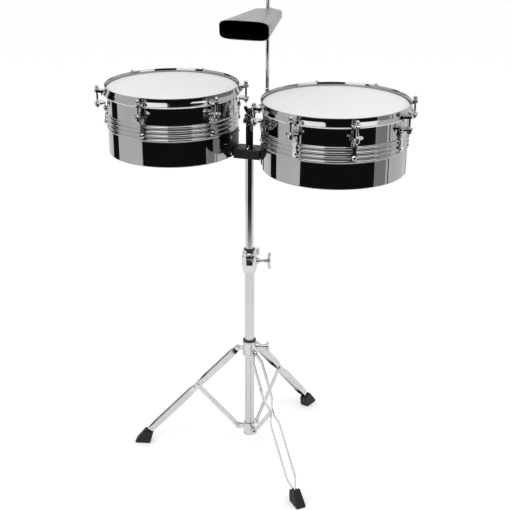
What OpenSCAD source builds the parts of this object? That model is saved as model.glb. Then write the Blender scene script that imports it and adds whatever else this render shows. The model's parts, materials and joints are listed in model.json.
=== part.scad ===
// Pair of timbales on a folding tripod stand, with a cowbell on a bent rod.
// Origin: on the floor, on the axis of the stand's tubes.
// +X runs along the crossbar to the large drum, -Y faces the player, +Z is up.

/* [Drums] */
// Outside diameter of the small shell
small_d = 330.2; // [300:1:400]
// Outside diameter of the large shell
large_d = 355.6; // [320:1:430]
// Depth of both shells, from bearing edge to lower edge
shell_depth = 163.5; // [136:0.5:200]
// Wall of the shells
shell_wall = 1.2; // [0.8:0.1:2]
// Height of the small shell's lower edge above the crossbar's underside
small_rise = 1.7; // [-12:0.1:3]
// Height of the large shell's lower edge above the crossbar's underside
large_rise = -10.6; // [-14:0.1:3]
// Gap between the crossbar's end and the small shell
small_gap = 4.5; // [4.5:0.1:10]
// Gap between the crossbar's end and the large shell
large_gap = 6; // [4.5:0.1:10]
// Radius of the ridges rolled into the shells
bead_r = 4; // [3:0.1:5]
// Distance between ridges
bead_pitch = 10.8; // [10.2:0.1:13]
// Middle of the ridged band below the hoop's top
bead_drop = 88.5; // [86:0.5:92]

/* [Hoops and heads] */
// Thickness of the drum head's film
film_t = 0.5; // [0.3:0.1:1]
// Height of the hoop above the head
hoop_lip = 9; // [6:0.5:12]
// Height of the hoop
hoop_h = 20; // [18:0.5:24]
// Outside of the hoop's wall, out from the shell
hoop_out = 5; // [4.6:0.1:6]
// Thickness of the hoop's metal
hoop_wall = 2.4; // [1.5:0.1:2.6]
// Height of the skirt that flares out at the foot of the hoop
skirt_h = 9; // [8:0.1:10]
// Reach of the hoop's skirt, out from the shell
flange_out = 9.5; // [9:0.1:11]
// Height of the flesh hoop under the hoop
flesh_h = 6; // [4:0.5:8]

/* [Lugs] */
// Tension rods on the small drum
small_lugs = 6; // [6:1:6]
// Tension rods on the large drum
large_lugs = 8; // [8:1:8]
// Angle of the small drum's first lug from +X
small_turn = 24.3; // [24:0.1:27]
// Angle of the large drum's first lug from +X
large_turn = 26.3; // [25:0.1:27]
// Distance of the rod's axis out from the shell
rod_out = 23; // [21:0.5:25]
// Radius of a tension rod
rod_r = 3; // [2.5:0.1:3.5]
// Height of the lug's ear below the hoop's top
ear_drop = 44; // [42:0.5:46]
// Half width of the lug's ear
ear_half = 16.5; // [14:0.5:18]
// Thickness of the lug's ear
ear_t = 4.5; // [3:0.5:6]
// Thickness of the lug's stamped plate
plate_t = 2.4; // [1.5:0.1:3]
// Radius of a lug screw
screw_r = 2; // [1.5:0.1:2.5]

/* [Crossbar] */
// Height of the crossbar's underside above the floor
bar_z = 853; // [780:1:1020]
// Length of the crossbar, between the drums
bar_len = 68; // [64:1:90]
// Depth of the crossbar, front to back
bar_deep = 56; // [40:1:62]
// Height of the crossbar
bar_h = 23; // [20:0.5:28]
// Radius of the pins that the drums tilt on
pin_r = 7; // [5:0.5:8]
// Half width of the plate that carries each drum
saddle_half = 38; // [37:1:46]
// Thickness of that plate
saddle_t = 3; // [2:0.1:3]

/* [Stand] */
// Outside diameter of the lower tube
lower_tube_d = 25.4; // [24:0.1:28.6]
// Outside diameter of the upper tube
upper_tube_d = 22.2; // [18:0.1:22.4]
// Wall of both tubes
tube_wall = 1.2; // [0.8:0.1:1.4]
// Bottom of the lower tube above the floor
tube_foot_z = 47; // [44:0.5:52]
// Bottom of the height clamp
clamp_z = 534; // [500:1:620]
// Height of the height clamp
clamp_h = 66; // [60:1:80]
// Length of upper tube inside the stand, below the clamp
tube_engaged = 252; // [200:1:260]
// Turn of the height clamp's wing screw from +X
clamp_turn = 16; // [0:1:40]

/* [Tripod] */
// Angle of the first leg from +X
leg_turn = 190.6; // [180:0.1:200]
// Distance of the legs' and struts' pivots from the tube's axis
pivot_out = 32; // [30:0.5:40]
// Height of the struts' pivots on the lower collar
strut_pivot_z = 68; // [66:0.5:76]
// Length between the pivots of a strut, and of a leg's upper half
link_len = 165; // [140:1:200]
// Angle between a leg and the vertical when spread
leg_spread = 42.7; // [38:0.1:46]
// Width of the leg strips
strip_w = 15; // [12:0.5:18]
// Thickness of the leg strips
strip_t = 2; // [1.5:0.1:2.5]
// Half the distance between a leg's two strips where they bow apart
strip_bow = 12; // [10:0.5:14]
// Width of the struts
strut_w = 12; // [10:0.5:14]
// Thickness of the struts
strut_t = 4; // [3:0.1:5]
// Radius of the pivot rivets
rivet_r = 3; // [2:0.1:3.5]
// Length of a rubber foot along the floor
foot_len = 42; // [36:1:54]
// Width of a rubber foot
foot_w = 26; // [22:1:32]

/* [Cowbell] */
// Radius of the post that carries the cowbell's rod
post_r = 9.5; // [7:0.1:11]
// Height of that post above the crossbar
post_h = 65; // [60:1:80]
// Radius of the flange on top of the post
post_flange_r = 16.5; // [14:0.5:18]
// Diameter of the bent rod
rod_d = 9.5; // [8:0.1:10]
// Reach of the rod's arm from the post
arm_len = 123.5; // [110:0.5:150]
// Direction of the rod's arm from +X
arm_turn = 84.7; // [84:0.1:92]
// Bend radius of the rod, on its axis
rod_bend = 16; // [12:0.5:24]
// Height of the rod's upright above its arm
rod_rise = 315; // [290:1:400]
// Height of the cowbell's clamp above the arm
bell_rise = 242; // [200:1:270]
// Turn of the cowbell about the rod
bell_turn = -2.5; // [-10:0.5:10]
// Downward tilt of the cowbell's mouth
bell_tilt = 3.4; // [0:0.1:10]
// Length of the cowbell
bell_len = 180; // [150:1:216]
// Width of the cowbell's mouth
mouth_w = 125; // [105:1:150]
// Height of the cowbell's mouth
mouth_h = 47; // [40:1:58]
// Width of the cowbell's closed end
end_w = 75; // [62:1:90]
// Height of the cowbell's closed end
end_h = 25; // [24:1:32]
// Wall of the cowbell
bell_wall = 1.6; // [1:0.1:2.2]
// Distance of the cowbell's closed end in front of the rod
bell_back = 30; // [26:1:40]

/* [Hidden] */
$fn = 64;

// Clearances: of a turning or sliding fit, of faces that pass, of fixed flat
// faces and threads, and of fixed round faces
run = 0.05;
free = 0.3;
seat = 0.05;
snug = 0.15;

SMALL = 0;
LARGE = 1;
drum_r = [small_d / 2, large_d / 2];
drum_x = [-(bar_len / 2 + small_gap + small_d / 2), bar_len / 2 + large_gap + large_d / 2];
shell_low = [bar_z + small_rise, bar_z + large_rise];
shell_high = -(hoop_lip + film_t);
hoop_top = [for (low = shell_low) low + shell_depth - shell_high];
lug_count = [small_lugs, large_lugs];
lug_turn = [small_turn, large_turn];
to_pole = [0, 180];

// Shell ridges, counted from the top one, and the lug screws that follow them
bead_rise = bead_r - shell_wall;
function bead_z(i) = -bead_drop + (1.5 - i) * bead_pitch;
boss_r = 6;
upper_screw_z = bead_z(0) + bead_r + boss_r + 2.3;
lower_screw_z = bead_z(2);
plate_in = bead_rise + free;
plate_out = plate_in + plate_t;
ear_low = -ear_drop - ear_t / 2;
socket_h = 6.5;
socket_r = rod_r + 3.5;
nut_h = 3.2;
nut_r = 4;
head_cup_r = 7.5;
head_cup_h = 2.5;

// Claws over the hoop's skirt, which ends in a rim of this height
rim_h = 1.2;
rim_top = -hoop_h + rim_h;
skirt_slope = (flange_out - hoop_out) / (skirt_h - rim_h);
claw_top = rim_top + 7.2;
claw_half = 10;
claw_lip = 3;
claw_low = rim_top - 5.3;

// Plates that carry the drums
pivot_z = bar_z + bar_h / 2;
saddle_low = 2.3;
saddle_high = bead_z(3) - bead_r - 2 - (shell_high - shell_depth);
bolt_y = bar_deep / 2 + 4;
bolt_inset = 9;

// Tubes
lower_r = lower_tube_d / 2;
upper_r = upper_tube_d / 2;
tube_top = clamp_z + 18;
bushing_lip = 3;
tube_socket = 15;

// Tripod links
leg_pivot_z = strut_pivot_z + 2 * link_len * cos(leg_spread);
floor_run = leg_pivot_z / cos(leg_spread);
sole_r = pivot_out + leg_pivot_z * tan(leg_spread);
ear_half_t = 3;
strip_near = ear_half_t + 0.15 + strip_t / 2;
strip_knee = strut_t / 2 + 0.2 + strip_t / 2;
knee_len = 8;
strip_end = floor_run - 34;
rivet_head = 1.6;
collar_h = 39;
collar_r = lower_r + 5.3;
sleeve_r = lower_r + 1.8;

// Cowbell and its rod
post_top = bar_z + bar_h + post_h;
washer_h = 4;
eye_low = post_top + 5 + washer_h;
eye_h = rod_d + 1;
arm_z = eye_low + eye_h / 2;
arm_end = [arm_len * cos(arm_turn), arm_len * sin(arm_turn)];
stud_r = 4;
bell_z = arm_z + bell_rise;
tab_t = 3;
eye_r = rod_d / 2 + 3.2;
tab_x = eye_r + free + tab_t / 2;
shank_r = 3;

// Places a child at the hoop's top of one drum
module at_drum(d) {
    translate([drum_x[d], 0, hoop_top[d]]) children();
}

// Places a child at a lug: x outward from the shell, y along it, z from hoop top
module at_lug(d, i) {
    at_drum(d)
        rotate([0, 0, lug_turn[d] + i * 360 / lug_count[d]])
            translate([drum_r[d], 0, 0])
                children();
}

module at_lugs(d) {
    for (i = [0 : lug_count[d] - 1]) at_lug(d, i) children();
}

// Places a child at each bolt of the plate that carries a drum
module at_saddle_bolts(d) {
    turn = asin(bolt_y / drum_r[d]);
    for (side = [-1, 1], level = [saddle_low + bolt_inset, saddle_high - bolt_inset])
        translate([drum_x[d], 0, shell_low[d] + level])
            rotate([0, 0, to_pole[d] + side * turn])
                translate([drum_r[d], 0, 0])
                    children();
}

// Places a child in a leg's upright plane: x outward, z up
module at_leg(k) {
    rotate([0, 0, leg_turn + (k - 1) * 120]) children();
}

// Places a child on a leg: x along it from the top pivot, y sideways
module along_leg(k) {
    at_leg(k)
        translate([pivot_out, 0, leg_pivot_z])
            rotate([0, 90 - leg_spread, 0])
                children();
}

// Places a child on a strut: x along it from its lower pivot, y sideways
module along_strut(k) {
    at_leg(k)
        translate([pivot_out, 0, strut_pivot_z])
            rotate([0, leg_spread - 90, 0])
                children();
}

// Places a child at the cowbell's clamp: z along the rod, x along the bolt
module at_bell_clamp() {
    translate([arm_end.x, arm_end.y, bell_z])
        rotate([0, 0, bell_turn])
            children();
}

// Places a child at the cowbell's tilt: y backward along the bell
module at_bell() {
    at_bell_clamp()
        rotate([bell_tilt, 0, 0])
            children();
}

module tube(r_out, r_in, h) {
    difference() {
        cylinder(r = r_out, h = h);
        translate([0, 0, -1]) cylinder(r = r_in, h = h + 2);
    }
}

// Cylinder along +X from x0 to x1
module rod_x(r, x0, x1) {
    translate([x0, 0, 0]) rotate([0, 90, 0]) cylinder(r = r, h = x1 - x0);
}

// Cylinder along Y, centred
module pin_y(r, len) {
    rotate([90, 0, 0]) cylinder(r = r, h = len, center = true);
}

// Rivet along Y through a joint of the given half width
module rivet(half) {
    pin_y(rivet_r, 2 * half + 2 * rivet_head);
    for (side = [-1, 1])
        translate([0, side * (half + seat + rivet_head / 2), 0])
            pin_y(rivet_r + 2, rivet_head);
}

// Domed machine screw along +X: its head stands on x = 0, its shank goes back
module screw_x(r, head_r, head_h, len) {
    rod_x(r, -len, 0.5);
    rotate([0, 90, 0]) cylinder(r = head_r, h = head_h * 0.45);
    translate([head_h * 0.45, 0, 0])
        rotate([0, 90, 0])
            cylinder(r1 = head_r, r2 = head_r * 0.62, h = head_h * 0.55);
}

// Hexagon nut along X with its outer face at x = 0 and its body behind
module nut_x(r_hole) {
    difference() {
        translate([-nut_h, 0, 0]) rotate([0, 90, 0]) cylinder(r = nut_r, h = nut_h, $fn = 6);
        rod_x(r_hole, -nut_h - 1, 1);
    }
}

// Two wings and a hub on +Z; the hub starts at z = 0
module wings(hub_r, hub_h, tip_out, tip_up, lobe_r, thick) {
    cylinder(r = hub_r, h = hub_h);
    rotate([90, 0, 0])
        linear_extrude(height = thick, center = true)
            for (side = [-1, 1]) {
                polygon([
                    [0, hub_h * 0.2],
                    [side * hub_r * 0.9, 0.5],
                    [side * (tip_out - lobe_r * 0.2), tip_up - lobe_r * 1.7],
                    [side * (tip_out - 2 * lobe_r), tip_up - lobe_r * 0.6],
                    [side * hub_r * 0.6, hub_h]
                ]);
                translate([side * (tip_out - lobe_r), tip_up - lobe_r]) circle(r = lobe_r);
            }
}

// ---- Drums ----

module shell_profile(r) {
    low = shell_high - shell_depth;
    curl = 2.2;
    difference() {
        union() {
            translate([r - shell_wall, low]) square([shell_wall, shell_depth]);
            translate([r - curl, low + curl]) circle(r = curl);
            for (i = [0 : 3]) translate([r - shell_wall, bead_z(i)]) circle(r = bead_r);
        }
        for (i = [0 : 3]) translate([r - shell_wall, bead_z(i)]) circle(r = bead_r - shell_wall);
        translate([r - shell_wall - 2 * bead_r, bead_z(3) - bead_r - 1])
            square([2 * bead_r, 3 * bead_pitch + 2 * bead_r + 2]);
    }
}

module shell(d) {
    reach = shell_wall + bead_rise + 2;
    difference() {
        at_drum(d) rotate_extrude() shell_profile(drum_r[d]);
        at_lugs(d)
            for (z = [upper_screw_z, lower_screw_z])
                translate([0, 0, z]) rod_x(screw_r + 0.2, -reach, reach);
        at_saddle_bolts(d) rod_x(screw_r + 0.2, -reach, reach);
    }
}

module head(d) {
    r = drum_r[d];
    skirt = r + 0.4;
    at_drum(d)
        rotate_extrude() {
            translate([0, shell_high]) square([skirt + film_t, film_t]);
            translate([skirt, -hoop_h]) square([film_t, hoop_h - hoop_lip]);
            translate([skirt, -hoop_h - flesh_h]) square([hoop_out, flesh_h]);
        }
}

// Formed hoop: its wall flares to a rounded lip above the head and to a skirt below
module hoop(d) {
    inner = hoop_out - hoop_wall;
    lip = 1;
    at_drum(d)
        rotate_extrude()
            translate([drum_r[d], 0])
                polygon([
                    [inner, -hoop_h], [flange_out, -hoop_h], [flange_out, rim_top],
                    [hoop_out, rim_top + skirt_h - rim_h], [hoop_out, -lip * 1.6],
                    [hoop_out + 0.2, -lip], [hoop_out - 0.1, -lip * 0.3],
                    [hoop_out - lip / 2, 0], [hoop_out - lip, -lip * 0.3],
                    [hoop_out - lip, -lip], [inner, -hoop_lip]
                ]);
}

module lug_plate_outline() {
    waist = 4;
    middle = (upper_screw_z + lower_screw_z) / 2;
    translate([0, upper_screw_z]) circle(r = 9);
    translate([0, lower_screw_z]) circle(r = 7.5);
    translate([-8, upper_screw_z]) square([16, -ear_drop - upper_screw_z]);
    polygon([
        [-8.4, upper_screw_z - 3], [-waist, middle], [-7, lower_screw_z + 2.5],
        [7, lower_screw_z + 2.5], [waist, middle], [8.4, upper_screw_z - 3]
    ]);
}

module lug_ear_outline() {
    tip = rod_out + 8;
    polygon([
        [plate_in, -8], [plate_out + 5, -ear_half], [rod_out - 6, -ear_half],
        [tip - 7, -8], [tip, -3], [tip, 3], [tip - 7, 8],
        [rod_out - 6, ear_half], [plate_out + 5, ear_half], [plate_in, 8]
    ]);
    translate([rod_out, 0]) circle(r = 8);
}

module lug() {
    difference() {
        union() {
            translate([plate_in, 0, 0])
                rotate([90, 0, 90])
                    linear_extrude(height = plate_t) lug_plate_outline();
            translate([0, 0, upper_screw_z]) rod_x(boss_r, seat, plate_in + 0.5);
            translate([0, 0, upper_screw_z]) rod_x(head_cup_r, plate_in, plate_out + head_cup_h);
            translate([0, 0, ear_low]) linear_extrude(height = ear_t) lug_ear_outline();
            translate([rod_out, 0, ear_low - socket_h]) cylinder(r = socket_r, h = socket_h + 1);
        }
        translate([rod_out, 0, ear_low - socket_h - 1])
            cylinder(r = rod_r + run, h = socket_h + ear_t + 2);
        translate([0, 0, upper_screw_z]) rod_x(head_cup_r - 2.2, plate_out, plate_out + 9);
        for (z = [upper_screw_z, lower_screw_z])
            translate([0, 0, z]) rod_x(screw_r + seat, -1, plate_out + 1);
    }
}

module lug_screws(d) {
    grip = shell_wall + nut_h + 1;
    at_lugs(d)
        for (z = [upper_screw_z, lower_screw_z])
            translate([0, 0, z]) {
                translate([plate_out + seat, 0, 0])
                    screw_x(screw_r, z == upper_screw_z ? 4.6 : 5.6, 3.4, plate_out + grip);
                translate([-shell_wall - 3 * seat, 0, 0]) nut_x(screw_r + seat);
            }
}

module claw() {
    tip = rod_out + 7.5;
    heel = hoop_out + (rim_top + skirt_h - rim_h - claw_top) * skirt_slope + snug;
    lip_in = flange_out + free;
    difference() {
        intersection() {
            translate([0, claw_half, 0])
                rotate([90, 0, 0])
                    linear_extrude(height = 2 * claw_half)
                        polygon([
                            [heel, claw_top], [tip - 2, claw_top], [tip, claw_top - 2],
                            [tip, claw_top - 5], [lip_in + claw_lip, claw_top - 7],
                            [lip_in + claw_lip, claw_low], [lip_in, claw_low],
                            [lip_in, rim_top - snug], [flange_out + snug, rim_top]
                        ]);
            translate([0, 0, claw_low - 1])
                linear_extrude(height = claw_top - claw_low + 2) {
                    polygon([
                        [0, -claw_half], [flange_out + 5, -claw_half], [rod_out, -7.5],
                        [rod_out, 7.5], [flange_out + 5, claw_half], [0, claw_half]
                    ]);
                    translate([rod_out, 0]) circle(r = 7.5);
                }
        }
        translate([rod_out, 0, claw_low]) cylinder(r = rod_r + free, h = 20);
    }
}

module tension_rod() {
    collar_z = claw_top + free;
    collar_t = 2;
    key_h = -0.5 - collar_z - collar_t;
    end_z = ear_low - socket_h - 5;
    translate([rod_out, 0, 0]) {
        translate([0, 0, end_z]) cylinder(r = rod_r, h = collar_z - end_z + 0.5);
        translate([0, 0, collar_z]) cylinder(r = 6, h = collar_t);
        translate([0, 0, collar_z + collar_t - 0.5])
            rotate([0, 0, 45]) cylinder(r = 5.6, h = key_h - 1.5, $fn = 4);
        translate([0, 0, collar_z + collar_t]) cylinder(r = 3.6, h = key_h);
    }
}

// Curved plate bolted to the shell, with the pin that the drum tilts on
module saddle(d) {
    r = drum_r[d];
    gap = [small_gap, large_gap];
    low = shell_low[d] + saddle_low;
    tall = saddle_high - saddle_low;
    bar_end = gap[d] + bar_len / 2;
    difference() {
        translate([drum_x[d], 0, 0])
            rotate([0, 0, to_pole[d]]) {
                intersection() {
                    translate([0, 0, low]) tube(r + snug + saddle_t, r + snug, tall);
                    translate([0, -saddle_half, low]) cube([r + 20, 2 * saddle_half, tall]);
                }
                translate([0, 0, pivot_z]) {
                    rod_x(pin_r + 4, r + saddle_t - 1, r + gap[d] - free);
                    rod_x(pin_r, r + 1, r + bar_end - upper_r - 1.5);
                }
            }
        at_saddle_bolts(d) rod_x(screw_r + seat, -1, saddle_t + 2);
    }
}

module saddle_bolts(d) {
    grip = shell_wall + nut_h + 1;
    at_saddle_bolts(d) {
        translate([saddle_t + snug + seat, 0, 0]) screw_x(screw_r, 4, 2.6, saddle_t + grip);
        translate([-shell_wall - 3 * seat, 0, 0]) nut_x(screw_r + seat);
    }
}

// ---- Crossbar and stand column ----

module crossbar() {
    half = bar_deep / 2;
    bevel = 3;
    color("#1c1c1e")
        difference() {
            translate([-bar_len / 2, 0, bar_z])
                rotate([90, 0, 90])
                    linear_extrude(height = bar_len)
                        polygon([
                            [-half, 0], [half, 0], [half, bar_h - bevel],
                            [half - bevel, bar_h], [-half + bevel, bar_h], [-half, bar_h - bevel]
                        ]);
            translate([0, 0, bar_z - 1]) cylinder(r = upper_r + run, h = tube_socket + free + 1);
            for (side = [0, 180])
                translate([0, 0, pivot_z])
                    rotate([0, 0, side]) rod_x(pin_r + run, upper_r + 1.3, bar_len);
            translate([0, -half + 10, bar_z + bar_h - 8]) cylinder(r = screw_r + seat, h = 10);
        }
}

module crossbar_screw() {
    color("#d8d8da")
        translate([0, -bar_deep / 2 + 10, bar_z + bar_h + seat])
            rotate([0, -90, 0]) screw_x(screw_r, 4.6, 3.4, 7);
}

module cowbell_post() {
    color("#8d8d90") {
        translate([0, 0, bar_z + bar_h]) {
            cylinder(r = post_r + 1.5, h = 2);
            cylinder(r = post_r, h = post_h);
            translate([0, 0, post_h - 4]) cylinder(r1 = post_r, r2 = post_flange_r - 1, h = 4);
            translate([0, 0, post_h]) cylinder(r = post_flange_r, h = 5);
        }
        translate([0, 0, post_top]) cylinder(r = stud_r, h = 36);
    }
}

module post_washer() {
    color("#141414")
        translate([0, 0, post_top + 5]) tube(post_flange_r - 1.5, stud_r + seat, washer_h - seat);
}

module upper_tube() {
    length = bar_z + tube_socket - tube_top + tube_engaged;
    color("#d8d8da")
        translate([0, 0, tube_top - tube_engaged]) tube(upper_r, upper_r - tube_wall, length);
}

module lower_tube() {
    color("#d8d8da")
        translate([0, 0, tube_foot_z])
            tube(lower_r, lower_r - tube_wall, tube_top - tube_foot_z);
}

module tube_plug() {
    color("#141414")
        translate([0, 0, tube_foot_z - 3]) {
            cylinder(r = lower_r, h = 3 - seat);
            cylinder(r = lower_r - tube_wall - seat, h = 12);
        }
}

module clamp_bushing() {
    color("#141414")
        translate([0, 0, tube_top + seat])
            difference() {
                union() {
                    cylinder(r = lower_r, h = clamp_z + clamp_h + 1 - tube_top);
                    translate([0, 0, clamp_z + clamp_h - tube_top])
                        cylinder(r = lower_r + 1.4, h = bushing_lip);
                }
                translate([0, 0, -1]) cylinder(r = upper_r + run, h = clamp_h + 10);
            }
}

module clamp_profile() {
    bore = lower_r + snug;
    polygon([
        [bore, 0], [lower_r + 2.6, 0], [lower_r + 4.6, clamp_h * 0.08],
        [lower_r + 6.8, clamp_h * 0.2], [lower_r + 8, clamp_h * 0.36],
        [lower_r + 8.3, clamp_h * 0.55], [lower_r + 7.9, clamp_h * 0.72],
        [lower_r + 6.6, clamp_h * 0.8], [lower_r + 6.6, clamp_h * 0.88],
        [lower_r + 5.2, clamp_h * 0.9], [lower_r + 4.6, clamp_h], [bore, clamp_h]
    ]);
}

module height_clamp() {
    screw_z = clamp_z + clamp_h / 2;
    front = clamp_turn - 90;
    color("#c9c9cc")
        difference() {
            union() {
                translate([0, 0, clamp_z]) rotate_extrude() clamp_profile();
                translate([0, 0, screw_z])
                    rotate([0, 0, clamp_turn]) rod_x(8, lower_r + 2, lower_r + 13.5);
                translate([0, 0, clamp_z + clamp_h * 0.72])
                    rotate([0, 0, clamp_turn + 24])
                        translate([lower_r + 1, -5, 0]) cube([12, 10, clamp_h * 0.27]);
            }
            translate([0, 0, screw_z]) rotate([0, 0, clamp_turn]) rod_x(4 + run, 1, 60);
            translate([0, 0, screw_z + 2])
                rotate([90, 0, front + 90])
                    translate([0, 0, lower_r - 4])
                        linear_extrude(height = 30)
                            polygon([[-8.5, -8], [7, -8], [8.5, 0], [2, 8], [-7.5, 8]]);
            for (side = [-1, 1])
                translate([0, 0, clamp_z + clamp_h * 0.84])
                    rotate([0, 0, front + side * 13]) rod_x(1.2 + seat, 1, 60);
            translate([0, 0, clamp_z - 1]) cylinder(r = lower_r + snug, h = clamp_h + 2);
        }
}

module clamp_screws() {
    color("#e6e6e8")
        for (side = [-1, 1])
            translate([0, 0, clamp_z + clamp_h * 0.84])
                rotate([0, 0, clamp_turn - 90 + side * 13])
                    translate([lower_r + 6.6 + seat, 0, 0]) screw_x(1.2, 2.6, 2, 5.5);
}

// Wing screw pointing out along +X, its tip at tip_r from the axis
module wing_screw(tip_r, hub_at, wing_half) {
    rod_x(4, tip_r, hub_at + 1);
    rod_x(5.6, hub_at - 7, hub_at + 1);
    translate([hub_at, 0, 0])
        rotate([0, 90, 0])
            wings(6.5, 9, wing_half, 11, 4.6, 4.4);
}

module height_wing_screw() {
    color("#d8d8da")
        translate([0, 0, clamp_z + clamp_h / 2])
            rotate([0, 0, clamp_turn])
                wing_screw(lower_r + run, lower_r + 33, 23);
}

// ---- Tripod ----

// Flat ear reaching out to a pivot, its eye at x = pivot_out
module pivot_ear(half_t, z, eye, root) {
    translate([0, 0, z])
        rotate([90, 0, 0])
            linear_extrude(height = 2 * half_t, center = true) {
                translate([pivot_out, 0]) circle(r = eye);
                translate([root, -eye * 0.8]) square([pivot_out - root, 1.6 * eye]);
            }
}

module strut_collar() {
    ear_t_c = 2.5;
    in_half = strut_t / 2 + 0.2;
    out_half = in_half + ear_t_c;
    sleeve_h = strut_pivot_z - tube_foot_z + 14;
    color("#c9c9cc")
        difference() {
            union() {
                translate([0, 0, tube_foot_z]) cylinder(r = lower_r + 4, h = sleeve_h);
                translate([0, 0, tube_foot_z]) cylinder(r = lower_r + 5, h = 4);
                for (k = [1 : 3]) at_leg(k) pivot_ear(out_half, strut_pivot_z, 8, lower_r + 1);
            }
            translate([0, 0, tube_foot_z - 1]) cylinder(r = lower_r + snug, h = 60);
            for (k = [1 : 3])
                at_leg(k) {
                    translate([lower_r + 5.6, -in_half, strut_pivot_z - 20])
                        cube([40, 2 * in_half, 60]);
                    translate([pivot_out, 0, strut_pivot_z]) pin_y(rivet_r + run, 40);
                }
        }
}

module leg_collar() {
    screw_turn = leg_turn - 180;
    low = leg_pivot_z - 16;
    color("#c9c9cc")
        difference() {
            union() {
                translate([0, 0, low]) cylinder(r = collar_r, h = collar_h);
                translate([0, 0, low]) cylinder(r = collar_r + 1.2, h = 3.5);
                translate([0, 0, low + collar_h - 7]) cylinder(r = collar_r + 1.2, h = 3.5);
                translate([0, 0, leg_pivot_z + 8])
                    rotate([0, 0, screw_turn]) rod_x(7.5, lower_r, collar_r + 8);
                for (k = [1 : 3]) at_leg(k) pivot_ear(ear_half_t, leg_pivot_z, 8, lower_r + 2.4);
            }
            translate([0, 0, low - 1]) cylinder(r = sleeve_r + snug, h = collar_h + 2);
            translate([0, 0, leg_pivot_z + 8])
                rotate([0, 0, screw_turn]) rod_x(4 + run, 1, 60);
            for (k = [1 : 3])
                at_leg(k) translate([pivot_out, 0, leg_pivot_z]) pin_y(rivet_r + run, 40);
            for (turn = [60, -60])
                rotate([0, 0, leg_turn + turn])
                    translate([collar_r - 1.4, 0, leg_pivot_z + 2])
                        rotate([90, 0, 90])
                            linear_extrude(height = 10) {
                                circle(r = 6.5);
                                translate([-6.5, 0]) square([13, 8.5]);
                            }
        }
}

module collar_bushing() {
    low = leg_pivot_z - 14;
    color("#141414")
        difference() {
            union() {
                translate([0, 0, low]) cylinder(r = sleeve_r, h = collar_h);
                translate([0, 0, low + collar_h - 2 + seat]) cylinder(r = collar_r - 0.4, h = 4.5);
            }
            translate([0, 0, low - 1]) cylinder(r = lower_r + run, h = collar_h + 10);
            translate([0, 0, leg_pivot_z + 8])
                rotate([0, 0, leg_turn - 180]) rod_x(4 + run, lower_r - 2, 60);
        }
}

module collar_wing_screw() {
    color("#d8d8da")
        translate([0, 0, leg_pivot_z + 8])
            rotate([0, 0, leg_turn - 180])
                wing_screw(lower_r + run, collar_r + 25, 13);
}

function strip_path() = [
    [-9, strip_near], [knee_len, strip_near], [knee_len + 20, strip_bow],
    [link_len - knee_len - 25, strip_bow], [link_len - knee_len, strip_knee],
    [link_len + knee_len, strip_knee], [link_len + knee_len + 23, strip_bow],
    [strip_end - 42, strip_bow], [strip_end - 18, strip_near - 0.5],
    [strip_end, strip_near - 0.5]
];

module leg_strip(side) {
    path = strip_path();
    last = len(path) - 1;
    half = strip_t / 2;
    difference() {
        intersection() {
            linear_extrude(height = strip_w, center = true)
                polygon(concat(
                    [for (p = path) [p.x, side * (p.y + half)]],
                    [for (i = [last : -1 : 0]) [path[i].x, side * (path[i].y - half)]]
                ));
            rotate([90, 0, 0])
                linear_extrude(height = 60, center = true) {
                    circle(r = strip_w / 2);
                    translate([0, -strip_w / 2]) square([strip_end, strip_w]);
                }
        }
        for (x = [0, link_len]) translate([x, 0, 0]) pin_y(rivet_r + seat, 60);
    }
}

module leg(k) {
    color("#d8d8da")
        along_leg(k) {
            for (side = [-1, 1]) leg_strip(side);
            rivet(strip_near + strip_t / 2);
            translate([link_len, 0, 0]) rivet(strip_knee + strip_t / 2);
        }
}

// Rubber boot with a flat sole, open at the top for the leg's end
module foot(k) {
    toe = sole_r + 6;
    heel = toe - foot_len;
    slot = strip_near + strip_t / 2 - 0.5 + seat;
    color("#141414")
        difference() {
            intersection() {
                at_leg(k)
                    translate([0, foot_w / 2, 0])
                        rotate([90, 0, 0])
                            linear_extrude(height = foot_w)
                                polygon([
                                    [heel, 0], [toe - 1, 0], [toe, 1.5], [toe - 1, 6],
                                    [toe - 27, 39.5], [toe - 30, 40], [toe - 49, 31],
                                    [toe - 50, 28], [heel - 0.5, 2]
                                ]);
                at_leg(k)
                    translate([toe - 60, 0, 0])
                        rotate([90, 0, 90])
                            linear_extrude(height = 70)
                                polygon([
                                    [-foot_w / 2 + 1, 0], [foot_w / 2 - 1, 0],
                                    [foot_w / 2, 3], [foot_w / 2 - 0.5, 12],
                                    [foot_w / 2 - 3.5, 40], [-foot_w / 2 + 3.5, 40],
                                    [-foot_w / 2 + 0.5, 12], [-foot_w / 2, 3]
                                ]);
            }
            along_leg(k)
                translate([strip_end - 60, -slot, -strip_w / 2 - seat])
                    cube([60 + seat, 2 * slot, strip_w + 2 * seat]);
        }
}

module strut(k) {
    half = strut_t / 2 + 0.2 + 2.5;
    color("#c9c9cc")
        along_strut(k) {
            difference() {
                rotate([90, 0, 0])
                    linear_extrude(height = strut_t, center = true) {
                        circle(r = strut_w / 2);
                        translate([link_len, 0]) circle(r = strut_w / 2);
                        translate([0, -strut_w / 2]) square([link_len, strut_w]);
                    }
                pin_y(rivet_r + seat, 60);
                translate([link_len, 0, 0]) pin_y(rivet_r + run, 60);
            }
            rivet(half);
        }
}

// ---- Cowbell ----

// Quarter bend in the plane of the rod's arm: it leaves along +X and turns up
module rod_elbow() {
    intersection() {
        rotate([90, 0, 0])
            rotate_extrude()
                translate([rod_bend, 0]) circle(r = rod_d / 2);
        translate([0, -rod_d, -rod_bend - rod_d])
            cube([rod_bend + rod_d, 2 * rod_d, rod_bend + rod_d]);
    }
}

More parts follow.
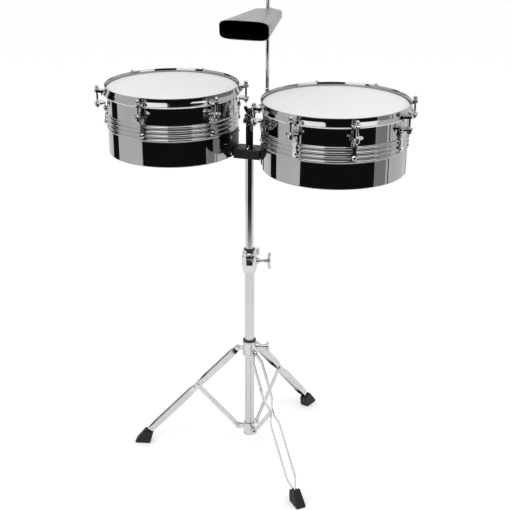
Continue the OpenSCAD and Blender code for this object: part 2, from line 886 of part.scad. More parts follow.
module cowbell_rod() {
    color("#d8d8da")
        difference() {
            union() {
                translate([0, 0, eye_low]) cylinder(r = 13, h = eye_h);
                rotate([0, 0, arm_turn]) {
                    translate([0, 0, arm_z]) rod_x(rod_d / 2, 6, arm_len - rod_bend);
                    translate([arm_len - rod_bend, 0, arm_z + rod_bend]) rod_elbow();
                    translate([arm_len, 0, arm_z + rod_bend])
                        cylinder(r = rod_d / 2, h = rod_rise - rod_bend);
                }
            }
            translate([0, 0, eye_low - 1]) cylinder(r = stud_r + run, h = eye_h + 2);
        }
}

module rod_wing_nut() {
    color("#9a9a9d")
        translate([0, 0, eye_low + eye_h + free])
            rotate([0, 0, arm_turn - 27])
                difference() {
                    wings(8, 10, 17.5, 24, 4.2, 4);
                    translate([0, 0, -1]) cylinder(r = stud_r + run, h = 40);
                }
}

// Rounded, crowned rectangle of the cowbell's section, w wide and h high
function bell_section(w, h, grow) = [
    for (i = [0 : 47])
        let (a = i * 360 / 48, c = cos(a), s = sin(a))
            [
                (w / 2 + grow) * sign(c) * pow(abs(c), 0.42),
                (h / 2 + grow) * sign(s) * pow(abs(s), 0.42)
            ]
];

module bell_solid(front, back, grow) {
    w = function (y) end_w + (mouth_w - end_w) * y / bell_len;
    h = function (y) end_h + (mouth_h - end_h) * y / bell_len;
    hull() {
        for (y = [front, back])
            translate([0, -bell_back - y, 0])
                rotate([90, 0, 0])
                    linear_extrude(height = 0.01) polygon(bell_section(w(y), h(y), grow));
    }
}

module cowbell() {
    color("#5a5b5d")
        at_bell()
            translate([tab_x, 0, 0])
                difference() {
                    bell_solid(0, bell_len, 0);
                    bell_solid(bell_wall, bell_len + 5, -bell_wall);
                }
}

module bell_bracket() {
    plate = 3;
    grip = 2;
    color("#b9b9bc")
        at_bell()
            translate([tab_x, 0, 0])
                difference() {
                    union() {
                        translate([-15, -bell_back + seat, -9]) cube([30, plate, 18]);
                        translate([-tab_t / 2, -bell_back + grip, 0])
                            rotate([90, 0, 90])
                                linear_extrude(height = tab_t) {
                                    translate([bell_back - grip, 0]) circle(r = 9);
                                    translate([0, -9]) square([bell_back - grip, 18]);
                                }
                    }
                    rod_x(shank_r + run, -20, 20);
                }
}

module bell_eye_bolt() {
    color("#d8d8da")
        at_bell_clamp()
            difference() {
                union() {
                    translate([0, 0, -5]) cylinder(r = eye_r, h = 10);
                    rod_x(shank_r, rod_d / 2 + 1, eye_r + 26);
                }
                translate([0, 0, -10]) cylinder(r = rod_d / 2 + run, h = 20);
            }
}

module bell_wing_nut() {
    color("#5a5b5d")
        at_bell_clamp()
            translate([tab_x + tab_t / 2 + free, 0, 0])
                rotate([0, 90, 0])
                    rotate([0, 0, 65])
                        difference() {
                            wings(6, 8, 15, 15, 3.6, 3.2);
                            translate([0, 0, -1]) cylinder(r = shank_r + run, h = 40);
                        }
}

lower_tube();
strut_collar();
tube_plug();
height_clamp();
clamp_bushing();
clamp_screws();
height_wing_screw();
upper_tube();
leg_collar();
collar_bushing();
collar_wing_screw();
leg(1);  // leg_1
leg(2);  // leg_2
leg(3);  // leg_3
foot(1);  // foot_1
foot(2);  // foot_2
foot(3);  // foot_3
strut(1);  // strut_1
strut(2);  // strut_2
strut(3);  // strut_3
crossbar();
crossbar_screw();
cowbell_post();
post_washer();
rod_wing_nut();
cowbell_rod();
cowbell();
bell_bracket();
bell_eye_bolt();
bell_wing_nut();
color("#77787b") shell(SMALL);  // small_shell
color("#f2f2f0") head(SMALL);  // small_head
color("#8f9093") hoop(SMALL);  // small_hoop
color("#d8d8da") at_lugs(SMALL) lug();  // small_lugs_set
color("#e6e6e8") lug_screws(SMALL);  // small_lug_screws
color("#d8d8da") at_lugs(SMALL) claw();  // small_claws
color("#1c1c1e") saddle(SMALL);  // small_saddle
color("#e6e6e8") saddle_bolts(SMALL);  // small_saddle_bolts
color("#77787b") shell(LARGE);  // large_shell
color("#f2f2f0") head(LARGE);  // large_head
color("#8f9093") hoop(LARGE);  // large_hoop
color("#d8d8da") at_lugs(LARGE) lug();  // large_lugs_set
color("#e6e6e8") lug_screws(LARGE);  // large_lug_screws
color("#d8d8da") at_lugs(LARGE) claw();  // large_claws
color("#1c1c1e") saddle(LARGE);  // large_saddle
color("#e6e6e8") saddle_bolts(LARGE);  // large_saddle_bolts
color("#d8d8da") at_lug(SMALL, 0) tension_rod();  // small_rod_1
color("#d8d8da") at_lug(SMALL, 1) tension_rod();  // small_rod_2
color("#d8d8da") at_lug(SMALL, 2) tension_rod();  // small_rod_3
color("#d8d8da") at_lug(SMALL, 3) tension_rod();  // small_rod_4
color("#d8d8da") at_lug(SMALL, 4) tension_rod();  // small_rod_5
color("#d8d8da") at_lug(SMALL, 5) tension_rod();  // small_rod_6
color("#d8d8da") at_lug(LARGE, 0) tension_rod();  // large_rod_1
color("#d8d8da") at_lug(LARGE, 1) tension_rod();  // large_rod_2
color("#d8d8da") at_lug(LARGE, 2) tension_rod();  // large_rod_3
color("#d8d8da") at_lug(LARGE, 3) tension_rod();  // large_rod_4
color("#d8d8da") at_lug(LARGE, 4) tension_rod();  // large_rod_5
color("#d8d8da") at_lug(LARGE, 5) tension_rod();  // large_rod_6
color("#d8d8da") at_lug(LARGE, 6) tension_rod();  // large_rod_7
color("#d8d8da") at_lug(LARGE, 7) tension_rod();  // large_rod_8
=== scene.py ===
import json
import math

import bpy
from mathutils import Matrix, Vector


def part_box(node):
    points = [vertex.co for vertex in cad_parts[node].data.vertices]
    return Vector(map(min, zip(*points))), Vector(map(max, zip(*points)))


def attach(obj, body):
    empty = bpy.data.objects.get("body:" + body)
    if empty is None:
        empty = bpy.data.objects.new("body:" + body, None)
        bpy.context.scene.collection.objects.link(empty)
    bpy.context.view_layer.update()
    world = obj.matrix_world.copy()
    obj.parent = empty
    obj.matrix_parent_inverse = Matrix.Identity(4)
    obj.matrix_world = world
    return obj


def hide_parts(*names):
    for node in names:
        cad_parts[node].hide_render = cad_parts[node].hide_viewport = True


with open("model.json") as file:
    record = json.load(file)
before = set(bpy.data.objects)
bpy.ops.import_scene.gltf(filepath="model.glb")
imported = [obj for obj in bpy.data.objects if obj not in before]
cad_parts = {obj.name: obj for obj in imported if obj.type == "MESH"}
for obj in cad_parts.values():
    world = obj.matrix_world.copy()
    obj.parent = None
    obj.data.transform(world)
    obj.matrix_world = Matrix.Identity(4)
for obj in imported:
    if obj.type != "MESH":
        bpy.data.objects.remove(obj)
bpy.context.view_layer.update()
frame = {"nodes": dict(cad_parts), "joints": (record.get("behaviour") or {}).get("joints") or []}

JOINTS = {joint["name"]: joint for joint in frame["joints"]}
MM = 0.001  # shapes are written in millimetres, and the scene is in metres
scene = bpy.context.scene

# ---------------------------------------------------------------- materials

EVEN = (1, 1, 1)
NOISE_SPAN = (0.3, 0.7)  # the part of the noise's range that the looks run over


def tree_of(owner):
    """Node tree of a material or a world."""
    owner.use_nodes = True
    return owner.node_tree


def noise(tree, scale, stretch, detail=3.0):
    """Noise in the part's own coordinates, in metres."""
    place = tree.nodes.new("ShaderNodeTexCoord")
    mapping = tree.nodes.new("ShaderNodeMapping")
    mapping.inputs["Scale"].default_value = stretch
    texture = tree.nodes.new("ShaderNodeTexNoise")
    texture.inputs["Scale"].default_value = scale
    texture.inputs["Detail"].default_value = detail
    tree.links.new(place.outputs["Object"], mapping.inputs["Vector"])
    tree.links.new(mapping.outputs["Vector"], texture.inputs["Vector"])
    return texture.outputs["Fac"]


def map_range(tree, value, span, low, high):
    """Maps a span of a value onto low to high."""
    node = tree.nodes.new("ShaderNodeMapRange")
    node.inputs["From Min"].default_value = span[0]
    node.inputs["From Max"].default_value = span[1]
    node.inputs["To Min"].default_value = low
    node.inputs["To Max"].default_value = high
    tree.links.new(value, node.inputs["Value"])
    return node


def two_tones(tree, value, dark, light):
    """Colour that runs from dark to light over the noise."""
    node = tree.nodes.new("ShaderNodeValToRGB")
    for stop, position, colour in zip(node.color_ramp.elements, NOISE_SPAN, (dark, light)):
        stop.position = position
        stop.color = (*colour, 1)
    tree.links.new(value, node.inputs["Fac"])
    return node.outputs["Color"]


def bump(tree, height, strength, distance):
    node = tree.nodes.new("ShaderNodeBump")
    node.inputs["Strength"].default_value = strength
    node.inputs["Distance"].default_value = distance
    tree.links.new(height, node.inputs["Height"])
    return node.outputs["Normal"]


def surface(name, dark, light, rough, metallic, grain, relief, tone=(14, EVEN), specular=0.5):
    """A material whose colour, roughness and relief each follow their own noise.

    tone (colour) and grain (roughness) are a noise scale and its stretch. relief is the same with
    a bump strength and a bump distance in metres.
    """
    mat = bpy.data.materials.new(name)
    tree = tree_of(mat)
    bsdf = tree.nodes["Principled BSDF"]
    bsdf.inputs["Metallic"].default_value = metallic
    bsdf.inputs["Specular IOR Level"].default_value = specular
    colour = two_tones(tree, noise(tree, *tone), dark, light)
    tree.links.new(colour, bsdf.inputs["Base Color"])
    roughness = map_range(tree, noise(tree, *grain), NOISE_SPAN, *rough)
    tree.links.new(roughness.outputs["Result"], bsdf.inputs["Roughness"])
    scale, stretch, strength, distance = relief
    normal = bump(tree, noise(tree, scale, stretch, detail=4.0), strength, distance)
    tree.links.new(normal, bsdf.inputs["Normal"])
    mat.diffuse_color = (*light, 1)
    return mat


def grey(value, warm=0.0):
    return (value * (1 + warm), value, value * (1 - warm))


MATS = {
    "bright_chrome": surface(
        "bright_chrome_plate", grey(0.54), grey(0.61), (0.07, 0.15), 1.0,
        grain=(35, (1, 1, 0.25)), relief=(700, (1, 1, 0.06), 0.02, 0.00005)),
    "shell_chrome": surface(
        "shell_chrome_mirror", grey(0.34, 0.015), grey(0.39, 0.015), (0.03, 0.075), 1.0,
        grain=(18, (1, 1, 0.6)), relief=(9, (1, 1, 0.5), 0.10, 0.0006)),
    "hoop_chrome": surface(
        "hoop_chrome_mirror", grey(0.34, 0.015), grey(0.40, 0.015), (0.04, 0.09), 1.0,
        grain=(30, EVEN), relief=(30, EVEN, 0.06, 0.0003)),
    "post_chrome": surface(
        "post_chrome_dark", grey(0.28), grey(0.34), (0.06, 0.13), 1.0,
        grain=(60, (1, 1, 0.4)), relief=(120, EVEN, 0.05, 0.0002)),
    "cast_chrome": surface(
        "cast_chrome_peel", grey(0.60), grey(0.68), (0.12, 0.22), 1.0,
        grain=(90, EVEN), relief=(320, EVEN, 0.12, 0.0002)),
    "screw_steel": surface(
        "screw_steel_zinc", grey(0.68), grey(0.76), (0.10, 0.18), 1.0,
        grain=(200, EVEN), relief=(900, EVEN, 0.05, 0.0001)),
    "head_film": surface(
        "head_film_coated", grey(0.87, 0.008), grey(0.90, 0.008), (0.50, 0.64), 0.0,
        grain=(40, EVEN), relief=(1600, EVEN, 0.18, 0.00006), tone=(9, EVEN), specular=0.35),
    "black_coat": surface(
        "black_powder_coat", grey(0.005), grey(0.010), (0.40, 0.55), 0.0,
        grain=(220, EVEN), relief=(1500, EVEN, 0.35, 0.00008), specular=0.28),
    "bell_steel": surface(
        "bell_steel_brushed", grey(0.28, 0.01), grey(0.38, 0.01), (0.30, 0.42), 1.0,
        grain=(700, (1, 0.03, 1)), relief=(1500, (1, 0.02, 1), 0.22, 0.00008),
        tone=(34, (1, 0.22, 1))),
    "rubber": surface(
        "rubber_moulded", grey(0.008), grey(0.016), (0.55, 0.74), 0.0,
        grain=(150, EVEN), relief=(1100, EVEN, 0.4, 0.0001), specular=0.35),
    "nylon": surface(
        "nylon_moulded", grey(0.014), grey(0.022), (0.36, 0.48), 0.0,
        grain=(120, EVEN), relief=(900, EVEN, 0.15, 0.0001)),
}
# near-black inside of the bell: painted shade that stands in for the shade in its hollow
BELL_INSIDE_PAINTED_SHADE = surface(
    "bell_inside_painted_shade", grey(0.0008), grey(0.0016), (0.8, 0.95), 0.0,
    grain=(80, EVEN), relief=(500, EVEN, 0.3, 0.0001), specular=0.02)

for node in frame["nodes"].values():
    slot = node.data.materials[0].name.split(".")[0]
    node.data.materials[0] = MATS[slot]

# ---------------------------------------------------------------- mesh tools

TURNS = 224        # steps round a drum
RING_POINTS = 32   # points round a tension rod


def link_mesh(name, verts, faces, mats):
    mesh = bpy.data.meshes.new(name)
    mesh.from_pydata(verts, [], faces)
    for mat in mats:
        mesh.materials.append(mat)
    obj = bpy.data.objects.new(name, mesh)
    scene.collection.objects.link(obj)
    return obj


def make_piece(name, verts, faces, slot, body, node, smooth_deg, inside=(), face_mats=None):
    """A piece that rides on a body and stands for a CAD node. Edges past smooth_deg stay sharp."""
    obj = link_mesh(name, verts, faces, (MATS[slot], *inside))
    mesh = obj.data
    mesh.validate()
    if face_mats:
        mesh.polygons.foreach_set("material_index", face_mats)
    mesh.polygons.foreach_set("use_smooth", [True] * len(mesh.polygons))
    mesh.set_sharp_from_angle(angle=math.radians(smooth_deg))
    mesh.update()
    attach(obj, body)
    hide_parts(node)
    return obj


def spaced(first, last, count):
    """Evenly spaced values, both ends included."""
    return [first + (last - first) * i / (count - 1) for i in range(count)]


def arc(cx, cz, r, start, end, steps):
    """Points of an arc in a profile, angles in degrees from outward."""
    angles = [math.radians(a) for a in spaced(start, end, steps + 1)]
    return [(cx + r * math.cos(a), cz + r * math.sin(a)) for a in angles]


def spin(centre, profile):
    """Copies of a (radius, height) profile in mm, turned about the upright through centre."""
    verts = []
    for i in range(TURNS):
        a = 2 * math.pi * i / TURNS
        c, s = math.cos(a), math.sin(a)
        verts += [(centre.x + r * MM * c, centre.y + r * MM * s, centre.z + z * MM)
                  for r, z in profile]
    return verts


def lathe(centre, profile):
    """Skin of a closed profile."""
    n = len(profile)
    faces = []
    for i in range(TURNS):
        j = (i + 1) % TURNS
        for k in range(n):
            m = (k + 1) % n
            faces.append((i * n + k, j * n + k, j * n + m, i * n + m))
    return spin(centre, profile), faces


def disc_lathe(centre, profile):
    """Skin of a profile that starts and ends on the axis."""
    poles = [(centre.x, centre.y, centre.z + profile[end][1] * MM) for end in (0, -1)]
    ring = len(profile) - 2
    faces = []
    for i in range(TURNS):
        a, b = 2 + i * ring, 2 + (i + 1) % TURNS * ring
        faces.append((0, a, b))
        faces.append((1, b + ring - 1, a + ring - 1))
        for k in range(ring - 1):
            faces.append((a + k, a + k + 1, b + k + 1, b + k))
    return poles + spin(centre, profile[1:-1]), faces


def stack(rings):
    """Joins rings of equal length into one closed skin, capped at both ends."""
    n = len(rings[0])
    verts = [point for ring in rings for point in ring]
    faces = []
    for i in range(len(rings) - 1):
        for k in range(n):
            m = (k + 1) % n
            faces.append((i * n + k, i * n + m, (i + 1) * n + m, (i + 1) * n + k))
    faces.append(tuple(range(n - 1, -1, -1)))
    faces.append(tuple(range((len(rings) - 1) * n, len(rings) * n)))
    return verts, faces


# ---------------------------------------------------------------- drums

# sizes in mm: radii from the shell's outside, heights from the hoop's top edge
HOOP_OUT = 5.0      # outside of the hoop's wall
FLANGE_OUT = 9.5    # outside of the hoop's flared foot
HOOP_H = 20.0
SKIRT_H = 9.0       # height of the flared part
LIP = 9.0           # the film lies this far below the hoop's top
FILM = 0.5
WALL = 1.2          # shell
DEPTH = 163.5
BEADS = 4
BEAD_R = 4.0
BEAD_PITCH = 10.8
BEAD_DROP = 88.5    # middle of the four ridges
BEAD_FILLET = 1.0
CURL_R = 2.2        # curled lower edge
OUTER_LOOP = 0.3    # support loops at the ends of flat walls keep their reflections straight
INNER_LOOP = 0.4


def shell_profile(r):
    """Rounded upper edge, four rolled ridges and a curled lower edge, outside and inside."""
    top = -LIP - FILM
    low = top - DEPTH
    beads = [-BEAD_DROP + ((BEADS - 1) / 2 - i) * BEAD_PITCH for i in range(BEADS)]
    reach = WALL + BEAD_FILLET
    rise = math.sqrt((BEAD_R + BEAD_FILLET) ** 2 - reach ** 2)
    lean = math.degrees(math.atan2(rise, reach))
    fillet_r = r + BEAD_FILLET
    outer = [(r - 0.5, top), (r - 0.1, top - 0.4), (r, top - 1.0), (r, top - 1.3)]
    for z in beads:
        outer += [(r, z + rise + OUTER_LOOP)]
        outer += arc(fillet_r, z + rise, BEAD_FILLET, 180, 180 + lean, 3)
        outer += arc(r - WALL, z, BEAD_R, lean, -lean, 12)[1:-1]
        outer += arc(fillet_r, z - rise, BEAD_FILLET, 180 - lean, 180, 3)
        outer += [(r, z - rise - OUTER_LOOP)]
    outer += [(r, low + 2.8), (r, low + 2.4)]
    outer += arc(r - CURL_R, low + CURL_R, CURL_R, -15, -255, 12)
    inner_r = r - WALL
    groove = BEAD_R - WALL
    inner = [(inner_r, low + 2 * CURL_R), (inner_r, low + 2 * CURL_R + INNER_LOOP)]
    for z in reversed(beads):
        inner += [(inner_r, z - groove - INNER_LOOP)]
        inner += arc(inner_r, z, groove, -86, 86, 8)
        inner += [(inner_r, z + groove + INNER_LOOP)]
    inner += [(inner_r, top - 1.2), (inner_r, top - 0.9), (r - 0.9, top - 0.2)]
    return outer + inner


def hoop_profile(r):
    """Flared foot, upright wall, rolled top edge and the lip that leans in over the film."""
    wall_r = r + HOOP_OUT
    foot_r = r + FLANGE_OUT - 0.5
    skirt_top = -HOOP_H + SKIRT_H
    points = [(r + 4.3, -HOOP_H), (foot_r, -HOOP_H)]
    points += arc(foot_r, -HOOP_H + 0.6, 0.6, -70, 35, 5)
    points += [(r + 8.0, -HOOP_H + 3.6), (r + 6.6, -HOOP_H + 6.2), (r + 5.6, -HOOP_H + 8.2)]
    points += [(wall_r + 0.12, skirt_top + 0.4), (wall_r, skirt_top + 1.4)]
    points += [(wall_r, skirt_top + 1.7), (wall_r, -2.4), (wall_r, -2.1)]
    points += arc(wall_r - 0.55, -0.75, 0.75, -30, 170, 9)
    points += [(r + 3.5, -1.8), (r + 3.1, -3.2), (r + 2.8, -4.8), (r + 2.64, -6.6)]
    points += [(r + 2.6, -9.2), (r + 2.6, -HOOP_H + 1.5)]
    return points


def head_profile(r):
    """Film stretched over the bearing edge, and the flesh hoop that its rim is crimped in."""
    top = -LIP
    under = top - FILM
    points = [(0.0, top), (r * 0.35, top), (r * 0.7, top), (r - 9, top)]
    points += [(r - 4, top + 0.03), (r - 1.2, top + 0.05), (r - 0.2, top - 0.1)]
    points += [(r + 0.5, top - 0.6), (r + 0.9, top - 1.6), (r + 0.9, -HOOP_H - 0.4)]
    points += arc(r + 3.2, -HOOP_H - 2.6, 2.35, 90, -90, 8)
    points += [(r + 1.4, -HOOP_H - 5.4), (r + 0.5, -HOOP_H - 4.4), (r + 0.4, -HOOP_H - 1)]
    points += [(r + 0.4, top - 1.8), (r - 0.4, top - 0.7), (r - 2, under), (r * 0.5, under)]
    points += [(0.0, under)]
    return points


for size in ("small", "large"):
    body = size + "_drum"
    low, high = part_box(size + "_hoop")
    radius = (high.x - low.x) / 2 / MM - FLANGE_OUT
    centre = Vector(((low.x + high.x) / 2, (low.y + high.y) / 2, high.z))
    make_piece(size + "_shell_rolled", *lathe(centre, shell_profile(radius)),
               "shell_chrome", body, size + "_shell", 50)
    make_piece(size + "_hoop_formed", *lathe(centre, hoop_profile(radius)),
               "hoop_chrome", body, size + "_hoop", 40)
    make_piece(size + "_head_film", *disc_lathe(centre, head_profile(radius)),
               "head_film", body, size + "_head", 32)

# ---------------------------------------------------------------- tension rods

# sizes in mm, heights from the top of the key
ROD_R = 3.0
THREAD_TOP = -36.0
THREAD_PITCH = 1.0
THREAD_DEPTH = 0.42
THREAD_STEPS = 6               # rings to a pitch
KEY_CORNER = 0.82              # below 1 it cuts the square's corners off
KEY_SIDE = 0.7071 * 1.02       # half a side, for a half diagonal of 1
COLLAR = ((2.9, -35.5), (2.9, -11.2), (5.4, -11.1), (5.95, -10.9),
          (6.0, -10.6), (6.0, -9.7), (5.6, -9.3), (4.4, -9.1))
KEY = ((5.2, -8.9), (5.5, -8.4), (5.5, -1.7), (5.2, -1.1))
BUTTON = ((3.5, -0.9), (3.3, -0.3), (2.4, 0.0))


def ring_angles():
    return [2 * math.pi * k / RING_POINTS for k in range(RING_POINTS)]


def circle_ring(r, z):
    return [(r * math.cos(a), r * math.sin(a), z) for a in ring_angles()]


def square_ring(r, z):
    """Square section with cut corners."""
    ring = []
    for a in ring_angles():
        q = max(abs(math.cos(a)), abs(math.sin(a)))
        k = r * min(1.0 / q, 1.0 / KEY_CORNER) * KEY_SIDE
        t = a + math.radians(45)
        ring.append((k * math.cos(t), k * math.sin(t), z))
    return ring


def threaded_rings(z0, z1):
    """Rings whose radius follows the rod's thread between two heights, and fades in at both."""
    rings = []
    count = int((z1 - z0) / THREAD_PITCH * THREAD_STEPS)
    for i, z in enumerate(spaced(z0, z1, count + 1)):
        ease = min(1.0, i / THREAD_STEPS, (count - i) / THREAD_STEPS)
        ring = []
        for k, a in enumerate(ring_angles()):
            phase = (z / THREAD_PITCH - k / RING_POINTS) % 1.0
            q = ROD_R - THREAD_DEPTH * ease * abs(2 * phase - 1)
            ring.append((q * math.cos(a), q * math.sin(a), z))
        rings.append(ring)
    return rings


def tension_rod(node):
    """Threaded rod with a collar and a square key. Each rod is a body of its own."""
    low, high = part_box(node)
    centre = Vector(((low.x + high.x) / 2, (low.y + high.y) / 2, high.z))
    tip = -(high.z - low.z) / MM
    rings = [circle_ring(2.2, tip), circle_ring(2.7, tip + 0.5)]
    rings += threaded_rings(tip + 0.7, THREAD_TOP)
    rings += [circle_ring(r, z) for r, z in COLLAR]
    rings += [square_ring(r, z) for r, z in KEY]
    rings += [circle_ring(r, z) for r, z in BUTTON]
    verts, faces = stack(rings)
    verts = [(centre.x + x * MM, centre.y + y * MM, centre.z + z * MM) for x, y, z in verts]
    make_piece(node + "_turned", verts, faces, "bright_chrome", node, node, 40)


for node in sorted(frame["nodes"]):
    if "_rod_" in node:
        tension_rod(node)

# ---------------------------------------------------------------- cowbell

# sizes in mm, in the bell's own frame: x across, -y towards the mouth, z up
BELL_LEN = 180.0
BELL_WALL = 1.6
BELL_TILT = 3.4                # degrees, nose down at rest
BACK, TAB_X = 30.0, 9.75       # closed end and middle of the bell, from the tilt pivot
END, MOUTH = (75.0, 25.0), (125.0, 47.0)
BELL_POINTS = 96
BELL_POWER = 0.42              # 1 is an ellipse, 0 a rectangle
# face material 1 is the bell's near-black inside, which is painted shade
STEEL, PAINTED_SHADE = 0, 1            # material of a face
CLOSED_END = ((0.05, -9.0), (0.0, -5.5), (0.0, -3.4), (0.0, -1.6), (0.4, -0.6), (1.3, 0.0))
MOUTH_EDGE = ((BELL_LEN - 0.15, -0.25), (BELL_LEN, -0.7), (BELL_LEN - 0.1, -1.3))

pivot = JOINTS["cowbell_tilt"]
BELL = (
    Matrix.Translation(Vector(pivot["pos_m"]))
    @ Matrix.Rotation(math.atan2(pivot["axis"][1], pivot["axis"][0]), 4, "Z")
    @ Matrix.Rotation(math.radians(BELL_TILT), 4, "X")
)


def bell_size(y):
    """Width and height of the bell, y mm from its closed end."""
    t = max(0.0, y) / BELL_LEN
    return [end + (mouth - end) * t for end, mouth in zip(END, MOUTH)]


def bell_ring(y, grow, size_at=None):
    """Section at y, grown by grow. size_at is where its size is taken, if not at y."""
    w, h = bell_size(y if size_at is None else size_at)
    ring = []
    for i in range(BELL_POINTS):
        a = 2 * math.pi * i / BELL_POINTS
        c, s = math.cos(a), math.sin(a)
        x = (w / 2 + grow) * math.copysign(abs(c) ** BELL_POWER, c)
        z = (h / 2 + grow) * math.copysign(abs(s) ** BELL_POWER, s)
        ring.append((TAB_X + x, -BACK - y, z))
    return ring


def make_bell():
    """Folded and welded bell: rounded closed end, rolled mouth edge, and an inside coloured near
    black as painted shade for its hollow.
    """
    steel = [bell_ring(y, grow) for y, grow in CLOSED_END]
    steel += [bell_ring(y, 0.0) for y in spaced(2.6, BELL_LEN - 0.6, 19)[1:]]
    steel += [bell_ring(y, grow) for y, grow in MOUTH_EDGE]
    # the inner rings carry the painted shade of the hollow
    painted_shade_rings = [bell_ring(y, -BELL_WALL) for y in spaced(BELL_LEN - 1, 3.5, 12)]
    painted_shade_rings += [bell_ring(2.2, -3.6, size_at=2)]
    verts, faces = stack(steel + painted_shade_rings)
    verts = [tuple(BELL @ (Vector(point) * MM)) for point in verts]
    bands = [STEEL] * (len(steel) - 1) + [PAINTED_SHADE] * len(painted_shade_rings)
    face_mats = [mat for mat in bands for _ in range(BELL_POINTS)] + [STEEL, PAINTED_SHADE]
    make_piece("cowbell_welded", verts, faces, "bell_steel", "cowbell", "cowbell", 30,
               (BELL_INSIDE_PAINTED_SHADE,), face_mats)


make_bell()

# ---------------------------------------------------------------- CAD nodes that stay

BEVELS = {"foot_": (1.6, 3), "crossbar": (0.8, 2), "leg_collar": (0.5, 2), "height_clamp": (0.5, 2)}
BEVEL_ELSE = (0.3, 2)      # width in mm, and segments
BEVEL_ANGLE = 30
SPLIT_ANGLE = 50
WELD = 0.01                # mm


def is_replaced(name):
    return (name.startswith(("small_shell", "large_shell")) or name.endswith(("_hoop", "_head"))
            or "_rod_" in name or name == "cowbell")


def refine(obj, width, segments):
    """Welds a CAD mesh, breaks its sharp edges and shades it by face area, all as modifiers."""
    obj.data.polygons.foreach_set("use_smooth", [True] * len(obj.data.polygons))
    weld = obj.modifiers.new("weld", "WELD")
    weld.merge_threshold = WELD * MM
    bevel = obj.modifiers.new("bevel", "BEVEL")
    bevel.width = width * MM
    bevel.segments = segments
    bevel.limit_method = "ANGLE"
    bevel.angle_limit = math.radians(BEVEL_ANGLE)
    bevel.use_clamp_overlap = True
    bevel.miter_outer = "MITER_ARC"
    split = obj.modifiers.new("split", "EDGE_SPLIT")
    split.split_angle = math.radians(SPLIT_ANGLE)
    normal = obj.modifiers.new("normal", "WEIGHTED_NORMAL")
    normal.keep_sharp = True


for name, obj in frame["nodes"].items():
    if not is_replaced(name):
        refine(obj, *next((v for k, v in BEVELS.items() if name.startswith(k)), BEVEL_ELSE))

# ---------------------------------------------------------------- studio

CAMERA_TURN = 16.44        # degrees about the upright, from straight in front
CARD_STEP = 6              # degrees to a facet of a curved card


def rig(azimuth, distance, z):
    """A place in the studio: azimuth from the camera's side, positive to its right."""
    a = math.radians(CAMERA_TURN + azimuth)
    return Vector((math.sin(a) * distance, -math.cos(a) * distance, z))


def emitter(name, strength):
    """White light of one strength."""
    mat = bpy.data.materials.new(name)
    tree = tree_of(mat)
    tree.nodes.clear()
    out = tree.nodes.new("ShaderNodeOutputMaterial")
    emission = tree.nodes.new("ShaderNodeEmission")
    emission.inputs["Color"].default_value = (1, 1, 1, 1)
    emission.inputs["Strength"].default_value = strength
    tree.links.new(emission.outputs[0], out.inputs["Surface"])
    return mat


def card(name, points, faces, mat):
    """A studio card that only reflections see."""
    obj = link_mesh(name, [tuple(point) for point in points], faces, [mat])
    for key in ("camera", "diffuse", "shadow", "transmission", "volume_scatter"):
        setattr(obj, "visible_" + key, False)


def ribbon(az0, az1, step, first, second):
    """Points and faces of a band between two (distance, height) lines, over a span of azimuth."""
    steps = max(2, int(abs(az1 - az0) / step))
    points = [rig(az, *line) for az in spaced(az0, az1, steps + 1) for line in (first, second)]
    return points, [(2 * i, 2 * i + 2, 2 * i + 3, 2 * i + 1) for i in range(steps)]


def wall_card(name, az0, az1, dist, z0, z1, level):
    """Upright curved card."""
    card(name, *ribbon(az0, az1, CARD_STEP, (dist, z0), (dist, z1)), emitter(name, level))


def dark_floor():
    """Dark sector of the studio floor before the stand, that fades in from its near edge."""
    near, far, height, fade = 1.32, 6.5, 0.004, 0.55
    light_level, dark_level = 0.95, 0.012
    mat = emitter("dark_floor", 1.0)
    tree = mat.node_tree
    place = tree.nodes.new("ShaderNodeTexCoord")
    length = tree.nodes.new("ShaderNodeVectorMath")
    length.operation = "LENGTH"
    tree.links.new(place.outputs["Object"], length.inputs[0])
    level = map_range(tree, length.outputs["Value"], (near, near + fade), light_level, dark_level)
    level.interpolation_type = "SMOOTHSTEP"
    tree.links.new(level.outputs["Result"], tree.nodes["Emission"].inputs["Strength"])
    card("dark_floor", *ribbon(-54, 61, 5, (near, height), (far, height)), mat)


def key_light(name, azimuth, distance, z, width, height):
    """Area light aimed at the drums, which mirrors don't see."""
    light = bpy.data.lights.new(name, "AREA")
    light.shape = "RECTANGLE"
    light.size, light.size_y = width, height
    light.energy = KEY_RADIANCE * math.pi * width * height
    obj = bpy.data.objects.new(name, light)
    scene.collection.objects.link(obj)
    place = rig(azimuth, distance, z)
    aim = (place - KEY_AIM).to_track_quat("Z", "Y").to_matrix().to_4x4()
    obj.matrix_world = Matrix.Translation(place) @ aim
    obj.visible_camera = False
    obj.visible_glossy = False
    obj.visible_transmission = False


def ray_kinds(tree, *kinds):
    """1 for the kinds of ray named, 0 for the rest."""
    path = tree.nodes.new("ShaderNodeLightPath")
    total = path.outputs[kinds[0]]
    for kind in kinds[1:]:
        add = tree.nodes.new("ShaderNodeMath")
        add.operation = "ADD"
        add.use_clamp = True
        tree.links.new(total, add.inputs[0])
        tree.links.new(path.outputs[kind], add.inputs[1])
        total = add.outputs[0]
    return total


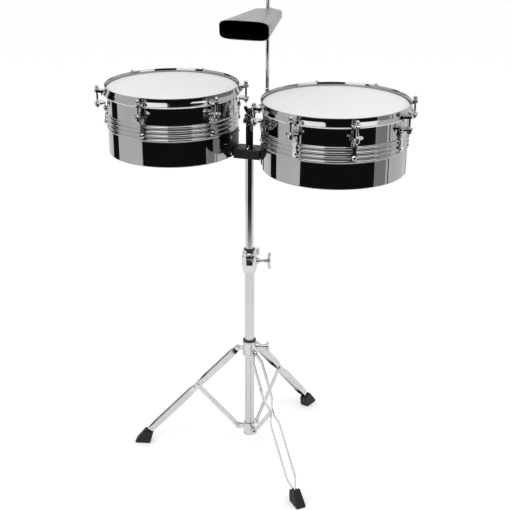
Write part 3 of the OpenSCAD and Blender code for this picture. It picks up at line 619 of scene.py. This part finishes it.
# what the mirrors see: the dark studio before the stand, its flags and its softboxes
dark_floor()
wall_card("dark_curtain", -56, 61, 4.2, 0.0, 5.2, 0.012)
wall_card("flag_left", -122, -104, 2.0, 0.0, 2.2, 0.01)
wall_card("flag_right", 83, 85, 2.0, 0.0, 1.6, 0.02)
wall_card("flag_back", 139, 143, 2.4, 0.0, 1.6, 0.03)
wall_card("half_tone", 61, 80, 2.3, 0.0, 1.5, 0.42)
wall_card("box_left_foot", -47, -12, 1.65, 0.90, 1.35, 1.7)
wall_card("box_left", -47, -12, 1.65, 1.35, 3.0, 2.1)
wall_card("box_right_foot", 32, 62, 2.1, 0.92, 1.42, 1.7)
wall_card("box_right", 32, 62, 2.1, 1.42, 2.5, 2.1)
wall_card("box_high", -47, 62, 1.65, 3.05, 5.6, 3.0)
card("half_tone_overhead",
     [rig(az, dist, 4.0) for az, dist in ((38, 2.0), (38, 4.4), (86, 4.4), (86, 2.0))],
     [(0, 1, 2, 3)], emitter("half_tone_overhead", 0.05))

KEY_AIM = Vector((0, 0, 0.95))
KEY_RADIANCE = 1.9
key_light("key_left", -28, 1.9, 2.3, 1.2, 1.4)
key_light("key_right", 50, 2.3, 2.4, 1.3, 1.4)

# the camera and the mirrors see a white world, which lights matt surfaces less
WORLD_SEEN, WORLD_LIGHT = 1.0, 0.80
scene.world = bpy.data.worlds.new("studio")
tree = tree_of(scene.world)
tree.nodes.clear()
out = tree.nodes.new("ShaderNodeOutputWorld")
mix = tree.nodes.new("ShaderNodeMixShader")
seen = ray_kinds(tree, "Is Camera Ray", "Is Glossy Ray", "Is Transmission Ray")
tree.links.new(seen, mix.inputs["Fac"])
for socket, strength in ((1, WORLD_LIGHT), (2, WORLD_SEEN)):
    background = tree.nodes.new("ShaderNodeBackground")
    background.inputs["Color"].default_value = (1, 1, 1, 1)
    background.inputs["Strength"].default_value = strength
    tree.links.new(background.outputs[0], mix.inputs[socket])
tree.links.new(mix.outputs[0], out.inputs["Surface"])

# the floor is lit white, with what it lacks added for the camera and the mirrors only
FLOOR_HALF = 60.0
FLOOR_COLOUR = (0.9, 0.9, 0.9, 1)
FLOOR_GAIN = 0.27
floor_mat = bpy.data.materials.new("studio_floor")
tree = tree_of(floor_mat)
tree.nodes.clear()
out = tree.nodes.new("ShaderNodeOutputMaterial")
matt = tree.nodes.new("ShaderNodeBsdfDiffuse")
matt.inputs["Color"].default_value = FLOOR_COLOUR
glow = tree.nodes.new("ShaderNodeEmission")
gain = tree.nodes.new("ShaderNodeMath")
gain.operation = "MULTIPLY"
gain.inputs[1].default_value = FLOOR_GAIN
tree.links.new(ray_kinds(tree, "Is Camera Ray", "Is Glossy Ray"), gain.inputs[0])
tree.links.new(gain.outputs[0], glow.inputs["Strength"])
both = tree.nodes.new("ShaderNodeAddShader")
tree.links.new(matt.outputs[0], both.inputs[0])
tree.links.new(glow.outputs[0], both.inputs[1])
tree.links.new(both.outputs[0], out.inputs["Surface"])
corners = [(x * FLOOR_HALF, y * FLOOR_HALF, 0) for x, y in ((-1, -1), (1, -1), (1, 1), (-1, 1))]
link_mesh("floor", corners, [(0, 1, 2, 3)], [floor_mat])

# ---------------------------------------------------------------- camera

CAMERA_DISTANCE, CAMERA_HEIGHT = 2.6403, 1.6579
CAMERA_PITCH = 67.98       # degrees, 90 is level
cam_data = bpy.data.cameras.new("camera")
cam_data.sensor_width = 36.0
cam_data.lens = 76.53
cam_data.shift_x = 0.0126
cam_data.shift_y = -0.0049
cam = bpy.data.objects.new("camera", cam_data)
scene.collection.objects.link(cam)
cam.location = rig(0, CAMERA_DISTANCE, CAMERA_HEIGHT)
cam.rotation_euler = (math.radians(CAMERA_PITCH), 0, math.radians(CAMERA_TURN))
scene.camera = cam

scene.view_settings.view_transform = "Standard"
